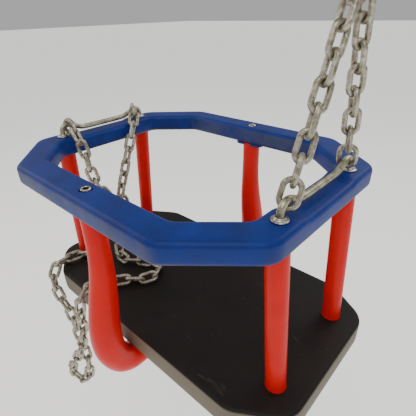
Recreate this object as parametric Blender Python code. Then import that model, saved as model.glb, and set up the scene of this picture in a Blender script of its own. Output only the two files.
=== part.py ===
"""Toddler cage swing: an octagonal grab ring held over a rubber seat by four side tubes and two posts.

Each short side of the ring carries a bent steel hanger bar with two legs of chain. The legs of the right
side stand up to a ring and a shackle. The left side's chain hangs into the cage, crosses the seat and hangs
over its front edge in one long loop. Units are metres, +X is the right chain side, -Y is the front and +Z
is up. The origin is midway between the hanger bars, in the plane of the ring's top.
"""

import math

import bmesh
import bpy
from mathutils import Matrix, Vector

MM = 0.001
GAP = 0.3 * MM

# Ring: half sizes of its octagon, then the section of its bar.
RING_X, RING_Y = 200 * MM, 163.3 * MM
RING_SIDE_Y, RING_FRONT_X = 99.5 * MM, 123.5 * MM
BAR_W, BAR_H, BAR_ROUND = 36.5 * MM, 24.4 * MM, 6 * MM
RING_CORNER = 24 * MM
GROOVE_W, GROOVE_DEPTH = 18 * MM, 12 * MM
HOOP_W, HOOP_H = 15 * MM, 8 * MM
RECESS_HALF, RECESS_DEPTH = 50 * MM, 2.5 * MM

# Seat: the same kind of octagon, longer and narrower than the ring.
SEAT_X, SEAT_Y = 230 * MM, 127 * MM
SEAT_SIDE_Y, SEAT_FRONT_X = 90.5 * MM, 171.5 * MM
SEAT_TOP, SEAT_THICK = -208 * MM, 36 * MM
SEAT_CORNER = 34 * MM
ROD_END = SEAT_TOP - SEAT_THICK - 9.5 * MM
PLATE_X, PLATE_Y, PLATE_THICK = 212 * MM, 74 * MM, 3 * MM

# Uprights.
HANG_X, HANG_Y = 182 * MM, 69.5 * MM
FOOT_X, FOOT_Y = 194 * MM, 68 * MM
TUBE_R, TUBE_BORE = 11.6 * MM, 8.6 * MM
SCREW_Y = 142.5 * MM
POST_BOLT_Y = 96 * MM
COLLAR_X, COLLAR_Y, COLLAR_H = 46 * MM, 27 * MM, 4 * MM
COLLAR_MIDDLE, POST_TOP_Y = 143.5 * MM, 142.4 * MM

# Hanger bars and chain.
ROD_R = 3.6 * MM
LINK_Y, HUMP_Z = 58 * MM, 15 * MM  # where a leg's first link sits on its bar
WIRE = 5.4 * MM
PITCH = 20.5 * MM
LINK_W = 18 * MM
FIRST_PITCH, FIRST_W, FIRST_TURN = 19.2 * MM, 21.6 * MM, math.radians(21)
JOINED, LOOSE = -0.8 * MM, 0.7 * MM  # how far a link's end sits from the contact point it shares
LEG_LINKS = 8
JOIN_RING_R, JOIN_WIRE, SHACKLE_WIRE = 16 * MM, 5.8 * MM, 5.8 * MM
PIN_BORE, PIN_RADII = 2.3 * MM, (2.0 * MM, 2.0 * MM, 4.2 * MM, 4.2 * MM)


def clear_scene():
    for item in list(bpy.data.objects):
        bpy.data.objects.remove(item, do_unlink=True)


def make_material(name, color, roughness, metallic=0.0):
    material = bpy.data.materials.new(name)
    material.use_nodes = True
    shader = material.node_tree.nodes["Principled BSDF"]
    shader.inputs["Base Color"].default_value = (*color, 1.0)
    shader.inputs["Roughness"].default_value = roughness
    shader.inputs["Metallic"].default_value = metallic
    return material


def add_object(name, bm, color, roughness, metallic=0.0, smooth=40.0):
    bmesh.ops.recalc_face_normals(bm, faces=bm.faces)
    mesh = bpy.data.meshes.new(name)
    bm.to_mesh(mesh)
    bm.free()
    mesh.shade_smooth()
    mesh.set_sharp_from_angle(angle=math.radians(smooth))
    item = bpy.data.objects.new(name, mesh)
    bpy.context.scene.collection.objects.link(item)
    item.data.materials.append(make_material(name, color, roughness, metallic))
    return item


BLUE = ((0.010, 0.050, 0.270), 0.42)
RED = ((0.620, 0.030, 0.012), 0.35)
RUBBER = ((0.016, 0.012, 0.010), 0.62)
GALVANISED = ((0.330, 0.310, 0.270), 0.5, 1.0)
ZINC = ((0.560, 0.560, 0.540), 0.28, 1.0)
STEEL = ((0.300, 0.300, 0.300), 0.4, 1.0)


def loft(bm, loops, round_again=False, capped=True):
    """Skins a list of point loops that all have the same number of points."""
    rows = [[bm.verts.new(p) for p in loop] for loop in loops]
    count = len(rows[0])
    pairs = list(zip(rows, rows[1:]))
    if round_again:
        pairs.append((rows[-1], rows[0]))
    for low, high in pairs:
        for i in range(count):
            j = (i + 1) % count
            bm.faces.new((low[i], low[j], high[j], high[i]))
    if capped and not round_again:
        bm.faces.new(list(reversed(rows[0])))
        bm.faces.new(rows[-1])
    return bm


def circle(center, radius, sides, start=0.0):
    return [
        center + Vector((math.cos(start + a), math.sin(start + a), 0)) * radius
        for a in (2 * math.pi * i / sides for i in range(sides))
    ]


def round_octagon(half_x, half_y, side_y, front_x, inset, radius, z, steps=3):
    """An octagon with each side moved in by inset and each corner rounded to radius."""
    right = [Vector((half_x, -side_y)), Vector((half_x, side_y)), Vector((front_x, half_y))]
    corners = [*right, *(Vector((-c.x, c.y)) for c in reversed(right))]
    corners += [Vector((-front_x, -half_y)), Vector((front_x, -half_y))]
    points = []
    for i, corner in enumerate(corners):
        back = (corners[i - 1] - corner).normalized()
        ahead = (corners[(i + 1) % 8] - corner).normalized()
        middle = (back + ahead).normalized()
        half = back.angle(ahead) / 2
        corner = corner + middle * inset / math.sin(half)
        center = corner + middle * radius / math.sin(half)
        first = corner + back * radius / math.tan(half) - center
        turn = math.pi - 2 * half
        for k in range(steps + 1):
            spoke = Matrix.Rotation(turn * k / steps, 2) @ first
            points.append(Vector((center.x + spoke.x, center.y + spoke.y, z)))
    return points


def rounded_section(width, height, radius, steps=2):
    """(inset, z) points of a bar's section from its outer top edge round to its inner one, top at z = 0."""
    points = []
    for inset, z, start in (
        (width - radius, -radius, 0), (radius, -radius, 90), (radius, radius - height, 180),
        (width - radius, radius - height, 270),
    ):
        for k in range(steps + 1):
            angle = math.radians(start + 90 * k / steps)
            points.append((inset + radius * math.cos(angle), z + radius * math.sin(angle)))
    return points


def add_helper(name, bm):
    """A hidden solid that a Boolean uses."""
    helper = add_object(name, bm, (0.5, 0.5, 0.5), 0.5)
    helper.hide_render = True
    helper.display_type = "WIRE"
    return helper


def combine(item, helper, operation="DIFFERENCE"):
    modifier = item.modifiers.new(operation.lower(), "BOOLEAN")
    modifier.operation = operation
    modifier.solver = "EXACT"
    modifier.object = helper


def add_drum(bm, center, radius, low, high, sides=20):
    """An upright drum with level ends."""
    return loft(bm, [circle(center + Vector((0, 0, z)), radius, sides) for z in (low, high)])


def add_lathe(bm, center, profile, sides=12):
    """A stepped drum from (radius, height) pairs in millimetres, listed from the bottom up."""
    return loft(bm, [circle(center + Vector((0, 0, z * MM)), r * MM, sides) for r, z in profile])


def tube_frames(points, closed):
    """Unit tangents and one carried normal for each point of a line."""
    count = len(points)
    tangents = []
    for i in range(count):
        if closed:
            step = points[(i + 1) % count] - points[i - 1]
        else:
            step = points[min(i + 1, count - 1)] - points[max(i - 1, 0)]
        tangents.append(step.normalized())
    normal = tangents[0].orthogonal().normalized()
    normals = []
    for i, tangent in enumerate(tangents):
        if i:
            normal = tangents[i - 1].rotation_difference(tangent) @ normal
        normals.append((normal - tangent * normal.dot(tangent)).normalized())
    return tangents, normals


def sweep(bm, points, radii, sides, closed=False):
    """A round bar along a line, with one radius for each point."""
    tangents, normals = tube_frames(points, closed)
    loops = []
    for point, tangent, normal, radius in zip(points, tangents, normals, radii):
        other = tangent.cross(normal)
        loops.append([
            point + (normal * math.cos(a) + other * math.sin(a)) * radius
            for a in (2 * math.pi * i / sides for i in range(sides))
        ])
    return loft(bm, loops, round_again=closed)


def smooth_line(points, steps):
    """A Catmull-Rom curve through hand-placed points."""
    ends = [points[0] * 2 - points[1], *points, points[-1] * 2 - points[-2]]
    line = []
    for a, b, c, d in zip(ends, ends[1:], ends[2:], ends[3:]):
        for k in range(steps):
            t = k / steps
            line.append(0.5 * ((2 * b) + (c - a) * t + (2 * a - 5 * b + 4 * c - d) * t**2
                               + (3 * b - a - 3 * c + d) * t**3))
    line.append(points[-1])
    return line


def contacts_along(line, pitch, count):
    """The points where successive links touch: each a pitch in a straight line from the last."""
    found = [line[0]]
    for point in line:
        while (point - found[-1]).length >= pitch and len(found) <= count:
            found.append(found[-1] + (point - found[-1]).normalized() * pitch)
    while len(found) <= count:
        found.append(found[-1] + (line[-1] - line[-2]).normalized() * pitch)
    return found


def link_frames(contacts, first_normal, last_normal=None):
    """(low contact, high contact, normal) of each link, each a quarter turn from the last.

    A last normal spreads the twist that brings the end of the run round to it over all the links.
    """
    frames = []
    carried = first_normal
    before = None
    for i, (low, high) in enumerate(zip(contacts, contacts[1:])):
        axis = (high - low).normalized()
        if before is not None:
            carried = before.rotation_difference(axis) @ carried
        carried = (carried - axis * carried.dot(axis)).normalized()
        frames.append((low, high, carried if i % 2 == 0 else axis.cross(carried)))
        before = axis
    if last_normal is None:
        return frames
    low, high, normal = frames[-1]
    axis = (high - low).normalized()
    wanted = (last_normal - axis * last_normal.dot(axis)).normalized()
    twist = math.atan2(normal.cross(wanted).dot(axis), normal.dot(wanted))
    if abs(twist) > math.pi / 2:
        twist -= math.copysign(math.pi, twist)
    share = twist / (len(frames) - 1)
    return [(low, high, Matrix.Rotation(share * i, 3, high - low) @ normal)
            for i, (low, high, normal) in enumerate(frames)]


def add_link(bm, frame, slacks, width, wire, arc=3, sides=5):
    """One chain link: a round bar with straight sides and round ends, from one contact point to the next."""
    low, high, normal = frame
    axis = (high - low).normalized()
    across = axis.cross(normal)
    radius = (width - wire) / 2
    apex = math.cos(math.pi / (2 * arc)) if arc % 2 else 1
    reach = wire / 2 - radius * apex
    points = []
    for center, start in ((high + axis * (slacks[1] + reach), 0), (low - axis * (slacks[0] + reach), 180)):
        for k in range(arc + 1):
            angle = math.radians(start + 180 * k / arc)
            points.append(center + (axis * math.sin(angle) + across * math.cos(angle)) * radius)
    sweep(bm, points, [wire / 2] * len(points), sides, closed=True)


def make_ring():
    loops = []
    half_groove = GROOVE_W / 2
    section = rounded_section(BAR_W, BAR_H, BAR_ROUND)
    bottom_start = next(i for i, p in enumerate(section) if p[1] < 0.1 * MM - BAR_H)
    groove = [
        (BAR_W / 2 - half_groove, -BAR_H), (BAR_W / 2 - half_groove, GROOVE_DEPTH - BAR_H),
        (BAR_W / 2 + half_groove, GROOVE_DEPTH - BAR_H), (BAR_W / 2 + half_groove, -BAR_H),
    ]
    section[bottom_start + 1:bottom_start + 1] = groove
    for inset, z in section:
        radius = RING_CORNER - 6 * MM * inset / BAR_W
        loops.append(round_octagon(RING_X, RING_Y, RING_SIDE_Y, RING_FRONT_X, inset, radius, z))
    ring = add_object("ring_shell", loft(bmesh.new(), loops, round_again=True), *BLUE)

    holes = bmesh.new()
    for side in (-1, 1):
        for end in (-1, 1):
            add_drum(holes, Vector((side * HANG_X, end * HANG_Y, 0)), ROD_R + 0.5 * MM, -40 * MM, 20 * MM, 12)
        add_lathe(holes, Vector((0, side * SCREW_Y, 0)), ((3.4, -40), (3.4, -3), (7.2, -3), (7.2, 5)), 18)
    combine(ring, add_helper("ring_holes", holes))

    recesses = bmesh.new()
    wide, narrow = RECESS_HALF + 6 * MM, RECESS_HALF - 3 * MM
    section = ((-wide, 6 * MM), (wide, 6 * MM), (narrow, -RECESS_DEPTH), (-narrow, -RECESS_DEPTH))
    for side in (-1, 1):
        ends = (side * (HANG_X - 30 * MM), side * (HANG_X + 30 * MM))
        loft(recesses, [[Vector((x, y, z)) for y, z in section] for x in ends])
    combine(ring, add_helper("ring_recesses", recesses))

    hoop_loops = []
    middle = BAR_W / 2
    top = GROOVE_DEPTH - BAR_H - GAP
    for inset, z in ((middle - HOOP_W / 2, top), (middle + HOOP_W / 2, top),
                     (middle + HOOP_W / 2, top - HOOP_H), (middle - HOOP_W / 2, top - HOOP_H)):
        radius = RING_CORNER - 6 * MM * inset / BAR_W
        hoop_loops.append(round_octagon(RING_X, RING_Y, RING_SIDE_Y, RING_FRONT_X, inset, radius, z))
    hoop = add_object("ring_hoop", loft(bmesh.new(), hoop_loops, round_again=True), *STEEL)
    hoop_holes = bmesh.new()
    for side in (-1, 1):
        for end in (-1, 1):
            add_drum(hoop_holes, Vector((side * HANG_X, end * HANG_Y, 0)), ROD_R + 0.5 * MM, -40 * MM, 0, 12)
        add_drum(hoop_holes, Vector((0, side * SCREW_Y, 0)), 3.4 * MM, -40 * MM, 0, 12)
    combine(hoop, add_helper("hoop_holes", hoop_holes))


def box_loops(center, half_x, half_y, low, high, corner):
    """A round-cornered block as two level loops."""
    loops = []
    for z in (low, high):
        loop = []
        for sx, sy, start in ((1, 1, 0), (-1, 1, 90), (-1, -1, 180), (1, -1, 270)):
            for k in range(4):
                angle = math.radians(start + 30 * k)
                loop.append(center + Vector((sx * (half_x - corner) + corner * math.cos(angle),
                                             sy * (half_y - corner) + corner * math.sin(angle), z)))
        loops.append(loop)
    return loops


POST_LINE = (  # distance from the middle, height, radius
    (142.4, -24.7, 12.8), (142.4, -45, 12.6), (142.4, -70, 12.9), (143.2, -95, 14.0), (145.2, -118, 15.6),
    (148.8, -141, 17.2), (152.6, -164, 18.4), (155.4, -185, 19.2), (156.4, -205, 19.6), (155.0, -224, 19.6),
    (150.0, -240.5, 19.4), (142.0, -254.4, 19.3), (130.0, -262.4, 19.0), (116.0, -263.7, 18.9),
    (98.0, -263.7, 18.6), (84.0, -263.4, 16.6), (78.0, -263.0, 12.5), (75.0, -262.8, 6.0),
)


def make_posts():
    for name, side in (("front", -1), ("back", 1)):
        route = [Vector((0, side * y * MM, z * MM)) for y, z, _ in POST_LINE]
        radii = [r * MM for _, _, r in POST_LINE]
        post = add_object(f"post_{name}", sweep(bmesh.new(), route, radii, 16), *RED)
        bores = bmesh.new()
        add_drum(bores, Vector((0, side * SCREW_Y, 0)), 3.4 * MM, -62 * MM, 0, 12)
        bolt_bore = ((8.4, -300), (8.4, -276), (3.4, -276), (3.4, -238))
        add_lathe(bores, Vector((0, side * POST_BOLT_Y, 0)), bolt_bore)
        combine(post, add_helper(f"post_bores_{name}", bores))

        top = -BAR_H - GAP
        collar = loft(bmesh.new(), box_loops(Vector((0, side * COLLAR_MIDDLE, 0)), COLLAR_X / 2, COLLAR_Y / 2,
                                             top - COLLAR_H, top, 8 * MM))
        collar = add_object(f"post_collar_{name}", collar, *BLUE)
        hole = add_drum(bmesh.new(), Vector((0, side * POST_TOP_Y, 0)), 13.3 * MM, -40 * MM, -20 * MM)
        combine(collar, add_helper(f"collar_hole_{name}", hole))

        screw = bmesh.new()
        head = Vector((0, side * SCREW_Y, 0))
        profile = ((3.0, -60), (3.0, -2.5), (6.0, -2.6), (6.0, -0.6), (4.8, 0.9), (2.6, 1.5))
        loft(screw, [circle(head + Vector((0, 0, z * MM)), r * MM, 16) for r, z in profile])
        add_object(f"post_screw_{name}", screw, *ZINC)

        bolt = bmesh.new()
        foot = Vector((0, side * POST_BOLT_Y, 0))
        loft(bolt, [circle(foot + Vector((0, 0, z * MM)), r * MM, 6)
                    for r, z in ((6.6, -281.5), (7.4, -280.8), (7.4, -276.4), (3.0, -276.3), (3.0, -245.2))])
        add_object(f"post_bolt_{name}", bolt, *ZINC)


def upright(side, end, z):
    """A point on a side tube's axis, which leans out towards the seat."""
    share = (z + BAR_H) / (SEAT_TOP + BAR_H)
    x, y = HANG_X + (FOOT_X - HANG_X) * share, HANG_Y + (FOOT_Y - HANG_Y) * share
    return Vector((side * x, end * y, z))


def leaning_drum(bm, side, end, radius, low, high, sides):
    return loft(bm, [circle(upright(side, end, z), radius, sides) for z in (low, high)])


def make_uprights():
    nut_low = ROD_END + 1.8 * MM
    for side_name, side in (("left", -1), ("right", 1)):
        for end_name, end in (("front", -1), ("back", 1)):
            place = f"{side_name}_{end_name}"
            top, foot = -BAR_H - GAP, SEAT_TOP + GAP
            outline = ((TUBE_R, top), (TUBE_R, foot + 2 * MM), (TUBE_R + 0.6 * MM, foot), (TUBE_BORE, foot),
                       (TUBE_BORE, top))
            loops = [circle(upright(side, end, z), r, 20) for r, z in outline]
            add_object(f"side_tube_{place}", loft(bmesh.new(), loops, round_again=True), *RED)

            under = SEAT_TOP - SEAT_THICK - GAP
            for name, outer, sides, high, low in (
                ("seat_washer", 9 * MM, 16, under, under - 1.6 * MM),
                ("seat_nut", 7.2 * MM, 6, under - 1.9 * MM, nut_low),
            ):
                inner = (ROD_R + GAP) / math.cos(math.pi / sides)
                rings = [circle(upright(side, end, z), r, sides)
                         for r, z in ((outer, high), (outer, low), (inner, low), (inner, high))]
                add_object(f"{name}_{place}", loft(bmesh.new(), rings, round_again=True), *ZINC)

            washer = Vector((side * HANG_X, end * HANG_Y, 0))
            outline = ((8.2, 0.3), (8.2, 1.6), (5.6, 2.1), (5.2, 4.2), (4.1, 4.2), (4.1, 0.3))
            loops = [circle(washer + Vector((0, 0, z * MM)), r * MM, 14) for r, z in outline]
            add_object(f"hanger_washer_{place}", loft(bmesh.new(), loops, round_again=True), *ZINC)


def make_seat():
    loops = []
    under = SEAT_TOP - SEAT_THICK
    outline = ((4.0, SEAT_TOP), (1.4, SEAT_TOP - 1.2 * MM), (0.0, SEAT_TOP - 4 * MM), (0.0, under + 7 * MM),
               (2.0, under + 2 * MM), (6.0, under))
    for inset, z in outline:
        loops.append(round_octagon(SEAT_X, SEAT_Y, SEAT_SIDE_Y, SEAT_FRONT_X, inset * MM, SEAT_CORNER, z))
    seat = add_object("seat_pad", loft(bmesh.new(), loops), *RUBBER)

    pocket = loft(bmesh.new(), box_loops(Vector((0, 0, 0)), PLATE_X + GAP, PLATE_Y + GAP,
                                         under - 10 * MM, under + PLATE_THICK + 2 * GAP, 12 * MM))
    combine(seat, add_helper("seat_pocket", pocket))
    plate = add_object("seat_plate", loft(bmesh.new(), box_loops(
        Vector((0, 0, 0)), PLATE_X, PLATE_Y, under + GAP, under + GAP + PLATE_THICK, 12 * MM)), *STEEL)

    holes = bmesh.new()
    for side in (-1, 1):
        for end in (-1, 1):
            leaning_drum(holes, side, end, ROD_R + 0.5 * MM, under - 20 * MM, SEAT_TOP + 20 * MM, 12)
        add_drum(holes, Vector((0, side * POST_BOLT_Y, 0)), 3.4 * MM, under - 20 * MM, under + 12 * MM, 12)
    holes = add_helper("seat_holes", holes)
    combine(seat, holes)
    combine(plate, holes)


HANGER_LINE = (  # distance from the middle, height
    (69.5, 5.0), (68.9, 9.2), (66.9, 12.7), (63.6, 14.8), (59.5, 15.3),
    (54.5, 14.3), (48.5, 11.8), (42.5, 9.2), (36.0, 7.5), (24.0, 7.0), (8.0, 7.0),
)


def make_hangers():
    for name, side in (("left", -1), ("right", 1)):
        half = [upright(side, -1, z) for z in (ROD_END, -60 * MM)]
        half += [Vector((side * HANG_X, -y * MM, z * MM)) for y, z in ((69.5, -24), *HANGER_LINE)]
        line = half + [Vector((p.x, -p.y, p.z)) for p in reversed(half)]
        add_object(f"hanger_{name}", sweep(bmesh.new(), line, [ROD_R] * len(line), 10), *GALVANISED)


def make_run(name, frames):
    """A run of links joined into one solid: the even links united with the odd ones."""
    halves = [bmesh.new(), bmesh.new()]
    for i, frame in enumerate(frames):
        slacks = (JOINED if i else LOOSE, JOINED if i + 1 < len(frames) else LOOSE)
        add_link(halves[i % 2], frame, slacks, LINK_W, WIRE)
    run = add_object(name, halves[0], *GALVANISED)
    other = add_helper(f"{name}_others", halves[1])
    combine(run, other, "UNION")


def add_torus(bm, center, axis, radius, wire, count, sides):
    first = axis.orthogonal().normalized()
    other = axis.cross(first)
    points = [center + (first * math.cos(a) + other * math.sin(a)) * radius
              for a in (2 * math.pi * i / count for i in range(count))]
    return sweep(bm, points, [wire / 2] * count, sides, closed=True)


def make_shackle(name, low, up, across):
    """A bow whose round end sits at low, with a pin through its two eyes."""
    half, length = 9 * MM, 24 * MM
    points = []
    for k in range(9):
        angle = math.radians(180 + 180 * k / 8)
        points.append(low + across * half * math.cos(angle) + up * half * (1 + math.sin(angle)))
    bow = [points[0] + up * length, points[0] + up * length * 0.5, *points, points[-1] + up * length * 0.5,
           points[-1] + up * length]
    item = add_object(f"{name}_shackle", sweep(bmesh.new(), bow, [SHACKLE_WIRE / 2] * len(bow), 10), *ZINC)
    reach = half + 8 * MM
    center = low + up * (half + length - 5 * MM)
    bore = sweep(bmesh.new(), [center - across * reach, center + across * reach], [PIN_BORE] * 2, 12)
    combine(item, add_helper(f"{name}_shackle_bore", bore))
    stations = (-reach * 0.86, half + 3.6 * MM, half + 3.7 * MM, reach + 0.5 * MM)
    pin = sweep(bmesh.new(), [center + across * s for s in stations], PIN_RADII, 10)
    add_object(f"{name}_shackle_pin", pin, *ZINC)


def make_leg(name, first, rest, first_normal, last_normal):
    """One leg: a wider first link round the hanger bar, then equal links along the curve through rest."""
    start = first + (rest[0] - first).normalized() * FIRST_PITCH
    line = smooth_line([start, *rest[1:]], 12)
    contacts = [first, *contacts_along(line, PITCH, LEG_LINKS - 1)]
    frames = link_frames(contacts, first_normal, last_normal)
    link = bmesh.new()
    add_link(link, frames[0], (LOOSE, 2 * LOOSE), FIRST_W, WIRE, 4, 6)
    add_object(f"{name}_first_link", link, *GALVANISED)
    make_run(f"{name}_leg", frames[1:])
    return contacts[-1]


def make_join_ring(name, one, other, along):
    """A ring hung on the ends of two legs, centred on the far side of them; returns its centre and normal."""
    half = (other - one) / 2
    hole = JOIN_RING_R - JOIN_WIRE / 2 - LOOSE
    along = (along - half * along.dot(half) / half.length_squared).normalized()
    center = (one + other) / 2 + along * math.sqrt(hole**2 - half.length_squared)
    normal = half.cross(along).normalized()
    add_object(name, add_torus(bmesh.new(), center, normal, JOIN_RING_R, JOIN_WIRE, 20, 8), *GALVANISED)
    return center, normal


def make_right_chain():
    """Both legs stand up to one ring, leaning outwards a little."""
    apex = Vector((187.5 * MM, 9 * MM, 167 * MM))
    spread = Vector((0.4, 0.916, 0)) * 6.5 * MM
    ends = []
    for name, end in (("front", -1), ("back", 1)):
        rod = Vector((HANG_X, end * LINK_Y, HUMP_Z))
        top = apex + spread * end
        pull = (top - rod).normalized()
        first = rod - pull * (ROD_R + 3.3 * GAP)
        first_normal = Vector((math.sin(FIRST_TURN), -math.cos(FIRST_TURN), 0))
        last_normal = spread.normalized() * 0.85 + Vector((0, 0, 0.53 * end))
        rest = [first + pull, first + pull * 0.08, top]
        ends.append(make_leg(f"chain_right_{name}", first, rest, first_normal, last_normal))
    up = Vector((0.1, 0, 0.995)).normalized()
    center, facing = make_join_ring("chain_right_ring", *ends, up)
    crown = center + up * (JOIN_RING_R - JOIN_WIRE / 2 - SHACKLE_WIRE / 2 - 2 * GAP)
    make_shackle("chain_right", crown, up, facing)


LEFT_FRONT_LEG = (
    (-185.7, -59.5, 16.3), (-167.6, -60, 10.6), (-154.5, -60, -5), (-148, -58.5, -21), (-145, -58.5, -43),
    (-144, -53, -67), (-147, -42.5, -89), (-152.5, -22, -118),
)
LEFT_BACK_LEG = (
    (-186.0, 57.8, 15.6), (-168.5, 49, 10.4), (-154.8, 34, -5), (-152.5, 23.5, -25), (-152.5, 7, -64.7),
    (-152.8, -8, -104), (-153, -12.5, -118),
)
LEFT_FRONT_NORMAL, LEFT_BACK_NORMAL = Vector((-0.1, -0.92, 0.38)), Vector((-0.1, -0.93, 0))
TAIL = (  # from the ring to the seat, round on it and out over the front edge, down in a loop and back again
    (-153, -20, -160), (-150, -28, -184), (-140, -37, -197), (-121, -48, -198.8), (-103, -45, -198.8),
    (-88, -33, -198.8), (-72, -24, -198.8), (-54, -22, -198.8), (-42, -34, -198.8), (-42, -52, -198.8),
    (-54, -66, -198.8), (-68, -76, -198.8), (-77, -90, -198.8), (-87, -106, -198.8), (-95, -122, -197.6),
    (-95, -137, -203), (-95, -143, -220), (-96, -144, -242), (-100, -145, -272), (-108, -149, -305),
    (-120, -156, -338), (-136, -162, -366), (-149, -163, -390), (-150, -160, -412), (-139, -153, -424),
    (-128, -146, -410), (-128, -141, -384), (-135, -138, -356), (-143, -138, -328), (-149, -138, -298),
    (-156, -138, -270), (-168, -142, -248), (-177, -142, -224), (-181, -136, -206), (-183, -125, -197.4),
    (-184, -106, -198.8), (-181, -90, -198.8), (-171, -76, -198.8), (-157, -68, -198.8), (-144, -64, -198.8),
)
SEAT_LINKS = 13
HANGING_LINKS = 21


def make_left_chain():
    """Both legs hang into the cage; the chain below their ring lies loose."""
    front = ("front", LEFT_FRONT_LEG, -1, LEFT_FRONT_NORMAL)
    back = ("back", LEFT_BACK_LEG, 1, LEFT_BACK_NORMAL)
    ends = []
    for name, route, end, first_normal in (front, back):
        points = [Vector(p) * MM for p in route]
        last_normal = Vector((0, 0.8, -0.6 * end))
        ends.append(make_leg(f"chain_left_{name}", points[0], points[1:], first_normal, last_normal))
    center, _ = make_join_ring("chain_left_ring", *ends, Vector((0, -0.1, -1)))

    low = center + Vector((0, -0.1, -1)).normalized() * (JOIN_RING_R - JOIN_WIRE / 2)
    line = smooth_line([low, *(Vector(p) * MM for p in TAIL)], 12)
    length = sum((b - a).length for a, b in zip(line, line[1:]))
    contacts = contacts_along(line, PITCH, int(length / PITCH))
    frames = link_frames(contacts, Vector((0, -1, 0)))
    stops = (0, SEAT_LINKS, SEAT_LINKS + HANGING_LINKS, len(frames))
    for name, start, stop in zip(("seat_run", "hanging_loop", "return_run"), stops, stops[1:]):
        make_run(f"chain_left_{name}", frames[start:stop])


clear_scene()
make_ring()
make_posts()
make_uprights()
make_seat()
make_hangers()
make_right_chain()
make_left_chain()
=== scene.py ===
import math

import bmesh
import bpy
from mathutils import Matrix, Vector


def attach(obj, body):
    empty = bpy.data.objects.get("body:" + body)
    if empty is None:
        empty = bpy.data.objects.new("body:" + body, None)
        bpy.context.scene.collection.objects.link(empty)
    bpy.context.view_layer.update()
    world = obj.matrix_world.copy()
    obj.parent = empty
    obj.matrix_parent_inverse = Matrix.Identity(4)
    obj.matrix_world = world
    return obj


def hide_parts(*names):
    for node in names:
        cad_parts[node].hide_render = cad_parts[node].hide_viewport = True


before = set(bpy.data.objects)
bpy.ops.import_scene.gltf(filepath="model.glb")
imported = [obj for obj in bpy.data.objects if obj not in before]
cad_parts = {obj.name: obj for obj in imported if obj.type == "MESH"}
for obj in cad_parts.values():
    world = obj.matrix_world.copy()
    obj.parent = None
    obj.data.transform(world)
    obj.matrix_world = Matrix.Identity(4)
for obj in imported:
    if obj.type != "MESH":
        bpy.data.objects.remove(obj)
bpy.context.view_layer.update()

mm = 0.001
gap = 0.3 * mm  # left between pieces that lie on each other


# small helpers

def linearColor(hexText):
    values = [int(hexText[i:i + 2], 16) / 255 for i in (1, 3, 5)]
    return [v / 12.92 if v <= 0.04045 else ((v + 0.055) / 1.055) ** 2.4 for v in values] + [1.0]


def addNode(tree, kind, settings=None, inputs=None, links=None):
    # settings are the node's own, inputs are fixed socket values, links come from (node, socket) pairs
    node = tree.nodes.new(kind)
    for name, value in (settings or {}).items():
        setattr(node, name, value)
    for name, value in (inputs or {}).items():
        node.inputs[name].default_value = value
    for name, (source, socket) in (links or {}).items():
        tree.links.new(source.outputs[socket], node.inputs[name])
    return node


def setRamp(node, stops):
    ramp = node.color_ramp
    while len(ramp.elements) > len(stops):
        ramp.elements.remove(ramp.elements[-1])
    while len(ramp.elements) < len(stops):
        ramp.elements.new(0.5)
    for element, (place, color) in zip(ramp.elements, stops):
        element.position = place
        element.color = color if len(color) == 4 else [*color, 1.0]


def newMaterial(name):
    material = bpy.data.materials.new(name)
    material.use_nodes = True
    tree = material.node_tree
    return material, tree, tree.nodes["Principled BSDF"], addNode(tree, "ShaderNodeTexCoord")


def toObject(name, bm, material, smoothAngle=35.0, recalculate=True):
    bmesh.ops.remove_doubles(bm, verts=bm.verts, dist=1e-6)
    if recalculate:
        bmesh.ops.recalc_face_normals(bm, faces=bm.faces)
    mesh = bpy.data.meshes.new(name)
    bm.to_mesh(mesh)
    bm.free()
    mesh.shade_smooth()
    mesh.set_sharp_from_angle(angle=math.radians(smoothAngle))
    item = bpy.data.objects.new(name, mesh)
    bpy.context.scene.collection.objects.link(item)
    mesh.materials.append(material)
    return item


def applyModifiers(item):
    # turns what the modifiers make into the object's own mesh
    bpy.context.view_layer.update()
    evaluated = item.evaluated_get(bpy.context.evaluated_depsgraph_get())
    mesh = bpy.data.meshes.new_from_object(evaluated)
    item.modifiers.clear()
    old = item.data
    item.data = mesh
    bpy.data.meshes.remove(old)
    mesh.name = item.name
    return item


def cutAway(item, cutters):
    for cutter in cutters:
        modifier = item.modifiers.new("cut", "BOOLEAN")
        modifier.operation = "DIFFERENCE"
        modifier.solver = "EXACT"
        modifier.object = cutter
    applyModifiers(item)
    for cutter in cutters:
        bpy.data.objects.remove(cutter, do_unlink=True)
    return item


def hand(item, body, slotName, *nodes):
    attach(item, body)
    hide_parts(*nodes)
    return item


def skin(bm, loops, roundAgain=False, capped=True):
    rows = [[bm.verts.new(p) for p in loop] for loop in loops]
    pairs = list(zip(rows, rows[1:]))
    if roundAgain:
        pairs.append((rows[-1], rows[0]))
    for low, high in pairs:
        for i in range(len(low)):
            j = (i + 1) % len(low)
            bm.faces.new((low[i], low[j], high[j], high[i]))
    if capped and not roundAgain:
        bm.faces.new(list(reversed(rows[0])))
        bm.faces.new(rows[-1])
    return bm


def ringOfPoints(center, radius, sides, start=0.0):
    return [center + Vector((math.cos(start + a), math.sin(start + a), 0)) * radius
            for a in (2 * math.pi * i / sides for i in range(sides))]


def turned(bm, center, profile, sides=48, closed=False):
    # profile is (radius, height) in millimetres
    loops = [ringOfPoints(center + Vector((0, 0, z * mm)), max(r, 0.02) * mm, sides) for r, z in profile]
    return skin(bm, loops, roundAgain=closed)


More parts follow.
